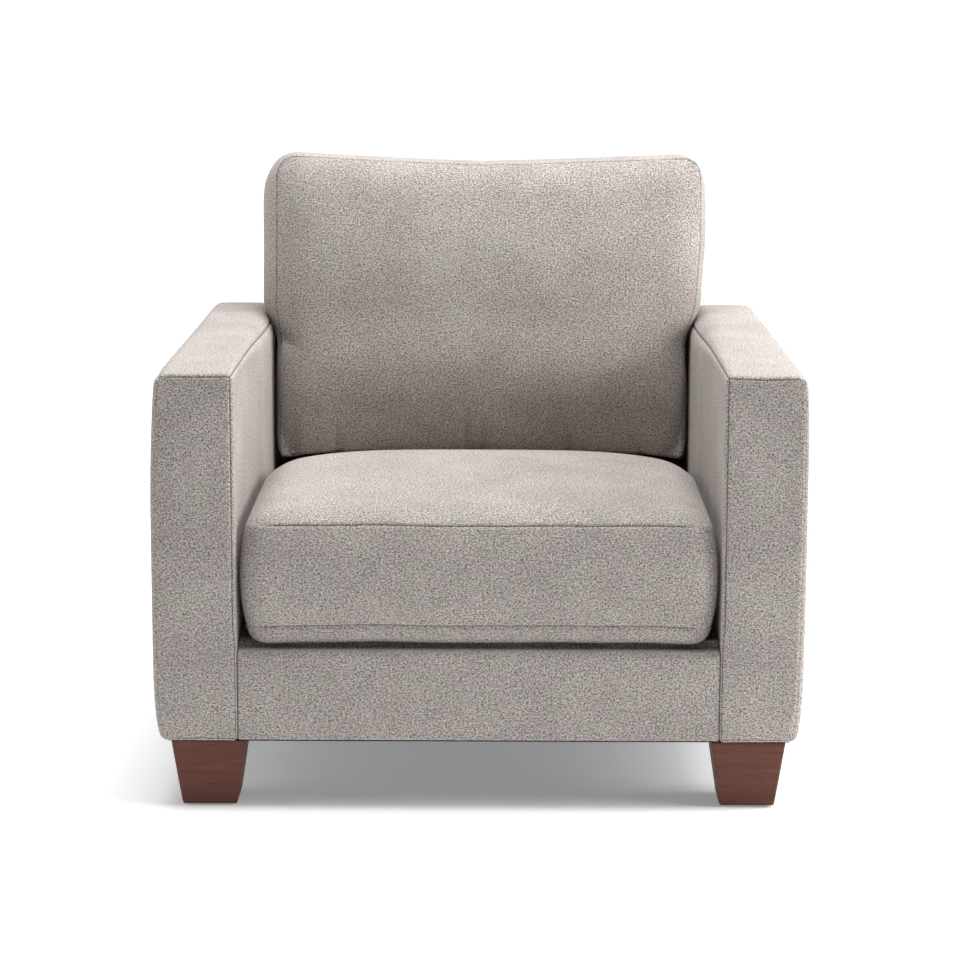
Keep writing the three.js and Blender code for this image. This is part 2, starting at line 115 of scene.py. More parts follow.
def add_studio():
    """The backdrop, soft light from above and from the right, and a weak fill from the left."""
    bpy.context.scene.view_settings.view_transform = "Standard"
    add_backdrop()
    world = bpy.data.worlds.new("studio")
    world.use_nodes = True
    world.node_tree.nodes["Background"].inputs["Strength"].default_value = 0.0
    bpy.context.scene.world = world

    middle = (0, 0, 0.4)
    add_area_light("overhead", (0, -0.3, 3.2), middle, (2.2, 2.0), 110)
    add_area_light("right", (3.2, -0.6, 1.5), middle, (1.6, 1.6), 38)
    add_area_light("right_low", (3.2, -0.2, 1.3), middle, (0.8, 0.8), 19)
    add_area_light("right_front", (2.8, -1.3, 1.9), middle, (0.8, 0.8), 20)
    add_area_light("right_foot", (3.2, -1.2, 1.0), middle, (0.9, 0.9), 5)
    add_area_light("right_above", (2.6, 0.2, 2.4), middle, (1.4, 1.4), 48)
    add_area_light("left", (-3.2, -0.6, 1.5), middle, (1.6, 1.6), 25)
    add_area_light("behind", (0, 2.0, 2.8), middle, (2.4, 1.6), 9)
    add_area_light("backdrop_wash", (0, 2.2, 3.6), (0, 4.6, 1.2), (6.0, 1.0), 60)


# ---------------------------------------------------------------- node helpers


class Nodes:
    """A new material's node tree, with short calls for what the materials below need."""

    def __init__(self, name):
        self.material = bpy.data.materials.new(name)
        self.material.use_nodes = True
        self.tree = self.material.node_tree
        self.tree.nodes.clear()
        self.shader = self.add("ShaderNodeBsdfPrincipled")
        output = self.add("ShaderNodeOutputMaterial")
        self.link(self.shader.outputs[0], output.inputs["Surface"])

    def add(self, kind, **settings):
        node = self.tree.nodes.new(kind)
        for key, value in settings.items():
            setattr(node, key, value)
        return node

    def link(self, source, target):
        self.tree.links.new(source, target)

    def put(self, value, socket):
        """Joins an output to a socket, or sets the socket's own value."""
        if isinstance(value, bpy.types.NodeSocket):
            self.link(value, socket)
        else:
            socket.default_value = value

    def math(self, operation, a, b=0.0, clamp=False):
        node = self.add("ShaderNodeMath", operation=operation, use_clamp=clamp)
        self.put(a, node.inputs[0])
        self.put(b, node.inputs[1])
        return node.outputs[0]

    def mapping(self, vector, scale, location=(0, 0, 0)):
        node = self.add("ShaderNodeMapping")
        self.link(vector, node.inputs["Vector"])
        node.inputs["Scale"].default_value = scale
        node.inputs["Location"].default_value = location
        return node.outputs[0]

    def noise(self, vector, scale, detail=2.0, roughness=0.5, distortion=0.0):
        node = self.add("ShaderNodeTexNoise")
        self.link(vector, node.inputs["Vector"])
        node.inputs["Scale"].default_value = scale
        node.inputs["Detail"].default_value = detail
        node.inputs["Roughness"].default_value = roughness
        node.inputs["Distortion"].default_value = distortion
        return node.outputs["Fac"]

    def ramp(self, fac, *stops):
        """A colour ramp whose stops are (position, colour)."""
        node = self.add("ShaderNodeValToRGB")
        self.link(fac, node.inputs["Fac"])
        elements = node.color_ramp.elements
        while len(elements) < len(stops):
            elements.new(0.5)
        for element, (position, colour) in zip(elements, stops):
            element.position = position
            element.color = (*colour, 1)
        return node.outputs["Color"]

    def mix(self, fac, a, b, blend="MIX"):
        node = self.add("ShaderNodeMix", data_type="RGBA", blend_type=blend)
        self.put(fac, node.inputs[0])
        for value, socket in ((a, node.inputs[6]), (b, node.inputs[7])):
            self.put(value if isinstance(value, bpy.types.NodeSocket) else (*value, 1), socket)
        return node.outputs[2]

    def map_range(self, value, low, high, to_low=0.0, to_high=1.0):
        node = self.add("ShaderNodeMapRange")
        self.link(value, node.inputs["Value"])
        node.inputs["From Min"].default_value = low
        node.inputs["From Max"].default_value = high
        node.inputs["To Min"].default_value = to_low
        node.inputs["To Max"].default_value = to_high
        return node.outputs[0]

    def attribute(self, name):
        return self.add("ShaderNodeAttribute", attribute_name=name)

    def bump(self, height, distance, strength=1.0):
        node = self.add("ShaderNodeBump")
        self.put(height, node.inputs["Height"])
        node.inputs["Distance"].default_value = distance
        node.inputs["Strength"].default_value = strength
        self.link(node.outputs[0], self.shader.inputs["Normal"])

    def set(self, **values):
        """Values or outputs for the shader's sockets, named with _ for a space."""
        for name, value in values.items():
            self.put(value, self.shader.inputs[name.replace("_", " ")])


# ---------------------------------------------------------------- materials


def backdrop_material():
    nodes = Nodes("backdrop")
    grain = nodes.noise(nodes.add("ShaderNodeTexCoord").outputs["Object"], 3.0)
    colour = nodes.ramp(grain, (0.3, (0.93, 0.93, 0.93)), (0.7, (0.95, 0.95, 0.95)))
    nodes.set(Base_Color=colour, Roughness=1.0)
    nodes.shader.inputs["Specular IOR Level"].default_value = 0.0
    nodes.shader.inputs["Emission Color"].default_value = (1, 1, 1, 1)
    nodes.shader.inputs["Emission Strength"].default_value = 0.25  # a softly lit floor, as on a light table
    return nodes.material


SEAM_SHADOW_HALF_WIDTH = 1.4 * MM  # half width of the dark line along a seam: painted shadow in its crease, and its stitches
STITCH = 3.4 * MM
FLECKS = {
    "coarse": 1.62 * MM,  # size of the flecks that slubby yarns make, across the yarn
    "coarse_length": 2.0,  # times that, along the yarn
    "fine": 0.75 * MM,
    "fine_share": 0.8,
    "slub_share": 0.22,
    "edge": 0.175,  # how soft the change from a dark yarn to a light one is
}
WARP_SHARE = 0.85  # how strongly the warp shows, where the weft is 1
YARN_SHADES = ((0.142, 0.121, 0.113), (0.60, 0.56, 0.53))
# painted shadow in a seam's crease, mixed with the colour of its stitches
SEAM_SHADOW_AND_STITCH_COLOUR = (0.06, 0.05, 0.046)
STAINS = ((0.086, 0.027, 0.0155), (0.156, 0.052, 0.031))


def wandering(nodes, cloth):
    """Places on the cloth, moved a little to and fro so that the yarns don't run straight."""
    wander = nodes.add("ShaderNodeTexNoise", noise_dimensions="3D")
    nodes.link(cloth, wander.inputs["Vector"])
    wander.inputs["Scale"].default_value = 60
    shift = nodes.add("ShaderNodeVectorMath", operation="SCALE")
    nodes.link(wander.outputs["Color"], shift.inputs[0])
    shift.inputs["Scale"].default_value = 0.7 * MM
    bent = nodes.add("ShaderNodeVectorMath", operation="ADD")
    nodes.link(cloth, bent.inputs[0])
    nodes.link(shift.outputs[0], bent.inputs[1])
    return bent.outputs[0]


def dashes(nodes, thread, across, length, seed, detail=0.0):
    """Noise drawn out along the weft, plus noise drawn out along the warp, about 0."""
    a, b = 1 / (across * length), 1 / across
    weft = nodes.noise(nodes.mapping(thread, (a, b, 1), (seed, 2 * seed, 0)), 1.0, detail)
    warp = nodes.noise(nodes.mapping(thread, (b, a, 1), (3 * seed, seed, 0)), 1.0, detail)
    both = nodes.math("ADD", weft, nodes.math("MULTIPLY", warp, WARP_SHARE))
    return nodes.math("SUBTRACT", both, (1 + WARP_SHARE) / 2)


def clouded(nodes, cloth, colour):
    """Broad, faint changes of shade and tint, from dyeing and handling."""
    cloud = nodes.noise(nodes.mapping(cloth, (1, 1, 1)), 11.0, 3.0, 0.6)
    cloud = nodes.ramp(cloud, (0.32, (0.91, 0.90, 0.90)), (0.68, (1.09, 1.095, 1.085)))
    colour = nodes.mix(1.0, colour, cloud, "MULTIPLY")
    tint = nodes.noise(nodes.mapping(cloth, (1, 1, 1), (4, 9, 0)), 34.0, 2.5, 0.6)
    tint = nodes.ramp(tint, (0.3, (1.055, 0.98, 1.0)), (0.7, (0.96, 1.02, 0.985)))
    return nodes.mix(1.0, colour, tint, "MULTIPLY")


def painted_seam_shadow(nodes):
    """Painted shadow in the crease of a seam, with its stitches: 1 in the crease and 0 beside it, the
    stitches just showing in its width.
    """
    seam = nodes.attribute("seam").outputs["Fac"]
    along = nodes.attribute("seam_along").outputs["Fac"]
    stitch = nodes.math("SINE", nodes.math("MULTIPLY", along, 2 * math.pi / STITCH))
    width = nodes.map_range(stitch, -1.0, 1.0, 0.75 * SEAM_SHADOW_HALF_WIDTH, 1.25 * SEAM_SHADOW_HALF_WIDTH)
    return nodes.math("SUBTRACT", 1.0, nodes.math("DIVIDE", seam, width), clamp=True)


def fabric_material(name="upholstery"):
    """Heathered linen-like cloth: slubby warp and weft yarns in mixed light and dark greige."""
    nodes = Nodes(name)
    cloth = nodes.add("ShaderNodeUVMap", uv_map="cloth").outputs[0]
    thread = wandering(nodes, cloth)
    coarse = dashes(nodes, thread, FLECKS["coarse"], FLECKS["coarse_length"], 7.3)
    fine = dashes(nodes, thread, FLECKS["fine"], 1.8, 3.1, 1.0)
    slub = dashes(nodes, thread, 1.9 * MM, 9.0, 11.7)
    fleck = nodes.math("ADD", coarse, nodes.math("MULTIPLY", fine, FLECKS["fine_share"]))
    fleck = nodes.math("ADD", fleck, nodes.math("MULTIPLY", slub, FLECKS["slub_share"]))
    reach = 2 * FLECKS["edge"]
    colour = nodes.mix(nodes.map_range(fleck, -reach, reach), *YARN_SHADES)
    colour = clouded(nodes, cloth, colour)
    # darkens the cloth along the seams: painted shadow in their creases, and the stitches
    colour = nodes.mix(nodes.math("MULTIPLY", painted_seam_shadow(nodes), 0.86), colour, SEAM_SHADOW_AND_STITCH_COLOUR)

    height = nodes.math("ADD", coarse, nodes.math("MULTIPLY", fine, 0.6))
    nodes.bump(height, 0.5 * MM, 0.7)
    nodes.set(Base_Color=colour, Roughness=0.93)
    nodes.shader.inputs["Specular IOR Level"].default_value = 0.22
    nodes.shader.inputs["Sheen Weight"].default_value = 0.12
    nodes.shader.inputs["Sheen Roughness"].default_value = 0.45
    nodes.shader.inputs["Sheen Tint"].default_value = (1, 0.97, 0.94, 1)
    return nodes.material


def wood_material(name, dark, light, roughness, grain_axis, scale=1.0):
    """Grain: long streaks along grain_axis (0, 1 or 2), with pores and a slow change of tone."""
    nodes = Nodes(name)
    place = nodes.add("ShaderNodeTexCoord").outputs["Object"]
    stretch = [1.0, 1.0, 1.0]
    stretch[grain_axis] = 0.07
    along = nodes.mapping(place, tuple(scale * s for s in stretch))
    streak = nodes.noise(along, 150.0, 4.0, 0.62, 0.6)
    figure = nodes.noise(along, 38.0, 2.0, 0.5, 1.2)
    pore = nodes.noise(along, 620.0, 1.0, 0.5)
    tone = nodes.math("ADD", nodes.math("MULTIPLY", streak, 0.6), nodes.math("MULTIPLY", figure, 0.4))
    colour = nodes.ramp(tone, (0.33, dark), (0.66, light))
    pores = nodes.map_range(pore, 0.3, 0.46)
    in_pore = nodes.math("SUBTRACT", 0.32, nodes.math("MULTIPLY", pores, 0.32))
    colour = nodes.mix(in_pore, colour, tuple(0.4 * c for c in dark))
    nodes.bump(nodes.math("ADD", streak, pores), 0.12 * MM, 0.35)
    nodes.set(Base_Color=colour, Roughness=nodes.map_range(streak, 0.3, 0.7, roughness, roughness + 0.14))
    nodes.shader.inputs["Specular IOR Level"].default_value = 0.3
    return nodes.material


def plain_weave_material(name, dark, light, pitch, roughness=0.95, bump=0.25):
    """A simple even weave for linings, felt, cambric, webbing and zip tape."""
    nodes = Nodes(name)
    place = nodes.add("ShaderNodeTexCoord").outputs["Object"]
    a = nodes.noise(nodes.mapping(place, (1 / pitch, 0.3 / pitch, 0.5 / pitch)), 1.0, 1.5)
    b = nodes.noise(nodes.mapping(place, (0.3 / pitch, 1 / pitch, 0.8 / pitch), (5, 3, 1)), 1.0, 1.5)
    both = nodes.math("MULTIPLY", nodes.math("ADD", a, b), 0.5)
    nodes.bump(both, pitch * bump, 0.8)
    nodes.set(Base_Color=nodes.ramp(both, (0.36, dark), (0.64, light)), Roughness=roughness)
    nodes.shader.inputs["Specular IOR Level"].default_value = 0.2
    return nodes.material


def foam_material():
    nodes = Nodes("foam")
    place = nodes.add("ShaderNodeTexCoord").outputs["Object"]
    cells = nodes.add("ShaderNodeTexVoronoi")
    nodes.link(place, cells.inputs["Vector"])
    cells.inputs["Scale"].default_value = 700
    yellowing = nodes.noise(place, 6.0, 3.0)
    colour = nodes.ramp(yellowing, (0.3, (0.80, 0.74, 0.56)), (0.7, (0.88, 0.84, 0.70)))
    nodes.bump(cells.outputs["Distance"], 0.6 * MM, 0.6)
    nodes.set(Base_Color=colour, Roughness=0.98)
    return nodes.material


def metal_material(name, colour, roughness):
    nodes = Nodes(name)
    place = nodes.add("ShaderNodeTexCoord").outputs["Object"]
    wear = nodes.noise(place, 180.0, 4.0, 0.6)
    dull = tuple(0.72 * c for c in colour)
    nodes.set(
        Base_Color=nodes.ramp(wear, (0.35, dull), (0.6, colour)),
        Roughness=nodes.map_range(wear, 0.3, 0.7, roughness, roughness + 0.2),
        Metallic=1.0,
    )
    nodes.bump(wear, 0.05 * MM, 0.4)
    return nodes.material


def plastic_material(name, colour):
    nodes = Nodes(name)
    place = nodes.add("ShaderNodeTexCoord").outputs["Object"]
    grain = nodes.noise(place, 900.0, 2.0, 0.6)
    scuff = nodes.noise(place, 90.0, 3.0, 0.6)
    pale = tuple(1.5 * c + 0.01 for c in colour)
    worn = nodes.ramp(scuff, (0.4, colour), (0.75, pale))
    nodes.set(Base_Color=worn, Roughness=nodes.map_range(scuff, 0.3, 0.7, 0.45, 0.7))
    nodes.bump(grain, 0.06 * MM, 0.4)
    return nodes.material


# ---------------------------------------------------------------- meshes on a box lattice

SEAM_LINES = tuple(MM * d for d in (0.7, 1.6, 2.8, 4.5, 7, 10.5, 15, 20))
STEEP_SEAM_LINES = tuple(MM * d for d in (0.15, 0.45, 0.9, 1.6, 2.6, 4.2, 6.5, 10, 15))
MARK_SPACING = 0.5 * MM  # of the marks along a seam that distances are measured from
CLOTH_PLACES = np.array((1.37, 0.83))  # from one panel's place on the roll of cloth to the next


def lines(half, step, near=SEAM_LINES):
    """Lattice lines from -1 to 1 over a side of 2 half: even, with extra lines near both ends."""
    plain = half - near[-1]
    count = max(2, round(2 * plain / step))
    close = [half - d for d in reversed(near[:-1])] + [half]
    inner = list(np.linspace(-plain, plain, count + 1))
    return np.array([-x for x in reversed(close)] + inner + close) / half


def lengths(grid):
    """Lengths over the cloth along the first way of a grid of points, from its first line."""
    steps = np.linalg.norm(np.diff(grid, axis=0), axis=2)
    return np.vstack([np.zeros(grid.shape[1]), np.cumsum(steps, axis=0)])


class Lattice:
    """The surface of a box lattice: a parameter triple per vertex, and six panels of quads."""

    def __init__(self, us, vs, ws):
        shape = (len(us), len(vs), len(ws))
        inside = np.zeros(shape, bool)
        inside[1:-1, 1:-1, 1:-1] = True
        self.index = np.full(shape, -1)
        self.index[~inside] = np.arange((~inside).sum())
        grid = np.meshgrid(us, vs, ws, indexing="ij")
        self.params = np.stack([g[~inside] for g in grid], axis=1)
        ends = [(axis, sign) for axis in range(3) for sign in (-1, 1)]
        self.panels = [(axis, sign, np.take(self.index, min(-sign, 0), axis=axis)) for axis, sign in ends]

    def quads(self, grid, axis, sign):
        """Four corners of each quad of a grid of values, in the order that faces out."""
        corners = np.stack([grid[:-1, :-1], grid[1:, :-1], grid[1:, 1:], grid[:-1, 1:]], axis=2)
        corners = corners.reshape(-1, 4, *grid.shape[2:])
        return corners if (sign > 0) != (axis == 1) else corners[:, ::-1]

    def mesh(self, name, points):
        """The mesh, with a cloth UV map in metres: lengths along each panel's two ways."""
        faces, cloth = [], []
        for number, (axis, sign, index) in enumerate(self.panels):
            grid = points[index]
            flat = np.stack([lengths(grid), lengths(grid.swapaxes(0, 1)).T], axis=2)
            flat += CLOTH_PLACES * (number + 1)  # each panel is cut from another place
            faces.append(self.quads(index, axis, sign))
            cloth.append(self.quads(flat, axis, sign))
        mesh = bpy.data.meshes.new(name)
        mesh.from_pydata(points.tolist(), [], np.concatenate(faces).tolist())
        layer = mesh.uv_layers.new(name="cloth")
        layer.data.foreach_set("uv", np.concatenate(cloth).astype(np.float32).ravel())
        mesh.shade_smooth()
        return mesh

    def relax(self, values, rounds):
        """Values at the vertices, evened out with their neighbours' within each panel."""
        for _ in range(rounds):
            total, count = np.zeros_like(values), np.zeros((len(values), 1))
            for _, _, index in self.panels:
                for a, b in ((index[1:], index[:-1]), (index[:, 1:], index[:, :-1])):
                    for here, there in ((a, b), (b, a)):
                        np.add.at(total, here.ravel(), values[there.ravel()])
                        np.add.at(count, here.ravel(), 1)
            values = (values + total / count) / 2
        return values

    def seam_distance(self, points, seams):
        """Each vertex's distance from its nearest seam, and its place along it. A seam is an edge
        of the box, such as {0: -1, 2: 1}."""
        marks, places = [], []
        for seam in seams:
            on_seam = np.all([self.params[:, axis] == sign for axis, sign in seam.items()], axis=0)
            (free,) = {0, 1, 2} - set(seam)
            line = points[on_seam][np.argsort(self.params[on_seam, free])]
            length = lengths(line[:, None])[:, 0]
            place = np.union1d(length, np.arange(0, length[-1], MARK_SPACING))
            marks.append(np.stack([np.interp(place, length, line[:, k]) for k in range(3)], axis=1))
            places.append(place)
        marks, places = np.concatenate(marks), np.concatenate(places)
        tree = KDTree(len(marks))
        for number, mark in enumerate(marks):
            tree.insert(mark, number)
        tree.balance()
        nearest = [tree.find(point) for point in points]
        return np.array([found[2] for found in nearest]), places[[found[1] for found in nearest]]


def edge_distance(params, half, fixed):
    """How far each vertex is from the box edge named by fixed, such as {1: -1, 2: 1}."""
    total = np.zeros(len(params))
    for axis, sign in fixed.items():
        total += ((1 - sign * params[:, axis]) * half[axis]) ** 2
    return np.sqrt(total)


def set_attribute(mesh, name, values):
    attribute = mesh.attributes.new(name, "FLOAT", "POINT")
    attribute.data.foreach_set("value", values.astype(np.float32))


def read_points(mesh):
    points = np.empty(len(mesh.vertices) * 3)
    mesh.vertices.foreach_get("co", points)
    return points.reshape(-1, 3)


def write_points(mesh, points):
    mesh.vertices.foreach_set("co", points.astype(np.float32).ravel())
    mesh.update()


def vertex_normals(mesh):
    normals = np.empty(len(mesh.vertices) * 3, np.float32)
    mesh.vertex_normals.foreach_get("vector", normals)
    return normals.reshape(-1, 3).astype(float)


def waviness(along, seed, wavelength):
    """A smooth wobble between -1 and 1 along a seam."""
    total = np.zeros_like(along)
    for k, share in ((1.0, 0.5), (1.73, 0.3), (2.91, 0.2)):
        total += share * np.sin(2 * np.pi * k * along / wavelength + seed * (1.3 + k))
    return total


def carve_seams(mesh, distance, along, depth=1.5 * MM, puckers=0.35 * MM, seed=1.0, width=1.0):
    """Sinks a crease along the seams, lifts the allowance beside it and adds small puckers."""
    crease = -depth * np.exp(-((distance / (1.6 * MM)) ** 2))
    ridge = 0.25 * depth * np.exp(-(((distance - 5 * MM) / (2.6 * MM)) ** 2))
    close = np.exp(-distance / (12 * MM)) * (1 - np.exp(-distance / (2 * MM)))
    pucker = puckers * close * waviness(along, seed, 46 * MM)
    write_points(mesh, read_points(mesh) + vertex_normals(mesh) * (crease + ridge + pucker)[:, None])
    # the seam attribute sets where the painted shadow along a seam falls, and width makes that line wider
    set_attribute(mesh, "seam", distance / width)
    set_attribute(mesh, "seam_along", along)


def add_piece(name, mesh, materials, body="frame", replaces=()):
    piece = bpy.data.objects.new(name, mesh)
    bpy.context.scene.collection.objects.link(piece)
    for material in materials:
        mesh.materials.append(material)
    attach(piece, body)
    if replaces:
        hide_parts(*replaces)
    return piece


def smooth(x, low, high):
    t = np.clip((x - low) / (high - low), 0, 1)
    return t * t * (3 - 2 * t)


# ---------------------------------------------------------------- cloth simulation


def cubic_weights(t):
    return np.stack([
        ((-0.5 * t + 1.0) * t - 0.5) * t,
        (1.5 * t - 2.5) * t * t + 1.0,
        ((-1.5 * t + 2.0) * t + 0.5) * t,
        (0.5 * t - 0.5) * t * t,
    ])


def sample_grid(grid, s, t):
    """Smooth values of an even grid over -1 to 1 both ways, at the points (s, t)."""
    picked = []
    for x, count in ((s, grid.shape[0]), (t, grid.shape[1])):
        place = (x + 1) / 2 * (count - 1)
        low = np.clip(np.floor(place).astype(int), 0, count - 2)
        steps = [np.clip(low + k, 0, count - 1) for k in (-1, 0, 1, 2)]
        picked.append((steps, cubic_weights(place - low)))
    (rows, row_weights), (columns, column_weights) = picked
    total = 0
    for i in range(4):
        for j in range(4):
            total = total + (row_weights[i] * column_weights[j])[:, None] * grid[rows[i], columns[j]]
    return total


def spread(coarse, moves, params):
    """Moves of a coarse, even lattice's vertices, carried over to the vertices of a fine one."""
    result = np.zeros((len(params), 3))
    for axis, sign, index in coarse.panels:
        a, b = [k for k in (0, 1, 2) if k != axis]
        here = params[:, axis] == sign
        result[here] = sample_grid(moves[index], params[here, a], params[here, b])
    return result


SIM_STEP = 15 * MM
SIM_FRAMES = 18
PRESSURE = 2.0
HOLD = 0.5  # how firmly the cover keeps to its shape
GATHER = 0.012  # how much the cloth is drawn in along a seam
EASE = 0.006  # and how much it is let out away from one


def add_cloth(cover, distance):
    """Makes the cover a cloth that is blown up from inside and gathered in at its seams."""
    holding = cover.vertex_groups.new(name="hold")
    gathered = cover.vertex_groups.new(name="gather")
    for i, d in enumerate(distance):
        holding.add([i], HOLD, "REPLACE")
        gathered.add([i], float(np.exp(-d / (12 * MM))), "REPLACE")
    modifier = cover.modifiers.new("cloth", "CLOTH")
    cloth = modifier.settings
    cloth.quality = 6
    cloth.mass = 0.25
    cloth.tension_stiffness = 22
    cloth.compression_stiffness = 22
    cloth.shear_stiffness = 10
    cloth.bending_stiffness = 0.5
    cloth.use_pressure = True
    cloth.uniform_pressure_force = PRESSURE
    cloth.effector_weights.gravity = 0
    cloth.vertex_group_mass = "hold"
    cloth.pin_stiffness = 1.0
    cloth.vertex_group_shrink = "gather"
    cloth.shrink_min = -EASE
    cloth.shrink_max = GATHER
    modifier.collision_settings.use_collision = False
    modifier.point_cache.frame_start = 1
    modifier.point_cache.frame_end = SIM_FRAMES


def simulate(name, half, shape, cap, seams):
    """Inflates a coarse cover whose seams are gathered in, and returns a function of parameters
    that gives how far the cover moved, at most cap."""
    counts = [max(4, round(2 * h / SIM_STEP)) + 1 for h in half]
    coarse = Lattice(*(np.linspace(-1, 1, n) for n in counts))
    start = shape(coarse.params)
    mesh = coarse.mesh(name, start)
    cover = bpy.data.objects.new(name, mesh)
    bpy.context.scene.collection.objects.link(cover)
    add_cloth(cover, coarse.seam_distance(start, seams)[0])
    scene = bpy.context.scene
    for number in range(1, SIM_FRAMES + 1):
        scene.frame_set(number)
    evaluated = cover.evaluated_get(bpy.context.evaluated_depsgraph_get())
    moves = read_points(evaluated.data) - start
    scene.frame_set(1)
    bpy.data.objects.remove(cover)
    bpy.data.meshes.remove(mesh)
    length = np.linalg.norm(moves, axis=1, keepdims=True)
    print(f"{name} moved: mean {length.mean() / MM:.2f} mm, most {length.max() / MM:.2f} mm")
    moves = coarse.relax(moves * cap / np.maximum(length, cap), 5)
    return lambda params: spread(coarse, moves, params)


# ---------------------------------------------------------------- boxed cushions


def rounded_plan(u, v, a, b, radius):
    """The square from -1 to 1 carried to a rectangle of half sides a and b with round corners."""
    x, y = u * a, v * b
    p = np.clip((np.abs(x) - (a - radius)) / radius, 0, 1)
    q = np.clip((np.abs(y) - (b - radius)) / radius, 0, 1)
    corner = (p > 0) & (q > 0)
    round_x = np.sign(x) * (a - radius + radius * p * np.sqrt(1 - q * q / 2))
    round_y = np.sign(y) * (b - radius + radius * q * np.sqrt(1 - p * p / 2))
    return np.where(corner, round_x, x), np.where(corner, round_y, y)


def shoulder(u, v, half, reach, power, reach_down=None, steep=2.0):
    """How far a stuffed panel has risen from the seam round it: 0 at the seam, 1 from reach on."""
    across = np.clip(1 - (1 - np.abs(u)) * half[0] / reach, 0, 1)
    down = np.clip(1 - (1 - np.abs(v)) * half[1] / (reach if reach_down is None else reach_down), 0, 1)
    t = np.clip((across**3 + down**3) ** (1 / 3), 0, 1)
    return (1 - t**steep) ** power


def tuck_depth(x, y, x0, y0, x1, y1, depth, width):
    """How deep a pinched fold lies at (x, y). It runs from (x0, y0), where it is deepest, to
    (x1, y1), where it fades out."""
    along_x, along_y = x1 - x0, y1 - y0
    reach = along_x**2 + along_y**2
    t = np.clip(((x - x0) * along_x + (y - y0) * along_y) / reach, 0, 1)
    away = np.hypot(x - x0 - t * along_x, y - y0 - t * along_y)
    return depth * (1 - smooth(t, 0.2, 1.0)) * np.exp(-((away / width) ** 2))


# on the back cushion's front, in mm from its middle: from x, y to x, y, depth, width
BACK_TUCKS = (
    (-303, 204, -280, 216, 2.6, 6.0),
    (-304, 190, -280, 187, 2.2, 8.0),
    (301, 203, 278, 212, 2.2, 5.5),
    (303, 192, 280, 199, 2.0, 5.5),
    (-316, -52, -284, -74, 5.0, 8.0),
    (-297, -216, -290, -165, 7.0, 7.0),
    (-226, -216, -229, -170, 6.0, 7.0),
    (-19, -216, -26, -150, 8.0, 7.0),
    (3, -216, 6, -160, 8.0, 7.0),
    (138, -216, 142, -165, 6.5, 7.0),
    (250, -216, 246, -176, 5.0, 8.0),
)


CORNER_REACH = 45 * MM  # how far round a corner the boxing's swell changes
CUSHION_SEAMS = [{axis: s, 2: w} for axis in (0, 1) for s in (-1, 1) for w in (-1, 1)]
COVER_THICKNESS = 4.5 * MM  # the cloth, and the puckers and creases in it


class Cushion:
    """A boxed cushion about its own middle: width along x, length along y, boxing along z."""

    def belly(self, u, v):
        """How far the boxing swells: from the ends' swell to the sides', halfway at a corner."""
        a, b, _ = self.half
        to_side = smooth((1 - np.abs(v)) * b, 0, CORNER_REACH) - smooth((1 - np.abs(u)) * a, 0, CORNER_REACH)
        share = (1 + to_side) / 2
        return self.side_belly(v) * share + self.end_belly(v) * (1 - share)

    def shape(self, params):
        u, v, w = params.T
        a, b, c = self.half
        top, bottom = w == 1, w == -1
        swell = self.belly(u, v) * (1 - w * w)
        x, y = rounded_plan(u, v, a + swell, b + swell, self.radius(u, v) + self.corner_swell * swell)
        z = w * c + np.where(top, self.crown(u, v), 0) - np.where(bottom, self.hang(u, v), 0)
        return np.stack([x, y, z], axis=1) + self.drift(u, v, w)


class SeatCushion(Cushion):
    half = (0.3165, 0.378, 0.0665)
    at = Vector((0, -0.044, 0.3285))
    corner_swell = 1.0
    # how wide the painted shadow along its seams is
    seam_shadow_width = 0.85

    def radius(self, u, v):
        return np.where(v > 0, 52 * MM, 24 * MM)

    def side_belly(self, v):
        return 7 * MM

    def end_belly(self, v):
        return np.where(v < 0, 13.5 * MM, 4 * MM)

    def crown(self, u, v):
        peak = -0.17
        reach = np.where(v > peak, 1 - peak, 1 + peak)
        broad = 27 * MM * (1 - u**4) * (1 - ((v - peak) / reach) ** 2)
        return 16 * MM * shoulder(u, v, self.half, 52 * MM, 0.7) + broad

    def hang(self, u, v):
        return 27.5 * MM * shoulder(u, v, self.half, 36 * MM, 0.5, 21 * MM, 2.4)

    def drift(self, u, v, w):
        sink = (35 * MM + 6 * MM * u * u) * smooth(v, -0.1, 0.8) * (w + 1) / 2
        wave = 1.2 * MM * waviness(u * self.half[0], 2.0, 0.34) * smooth(-v, 0.6, 1.0)
        lip = (5 + 3.5 * u**4) * MM * smooth(-v, 0.86, 0.99) * (1 - w) / 2
        return np.stack([1.2 * MM * u * (1 - w) / 2, 0 * u, wave - sink - lip], axis=1)


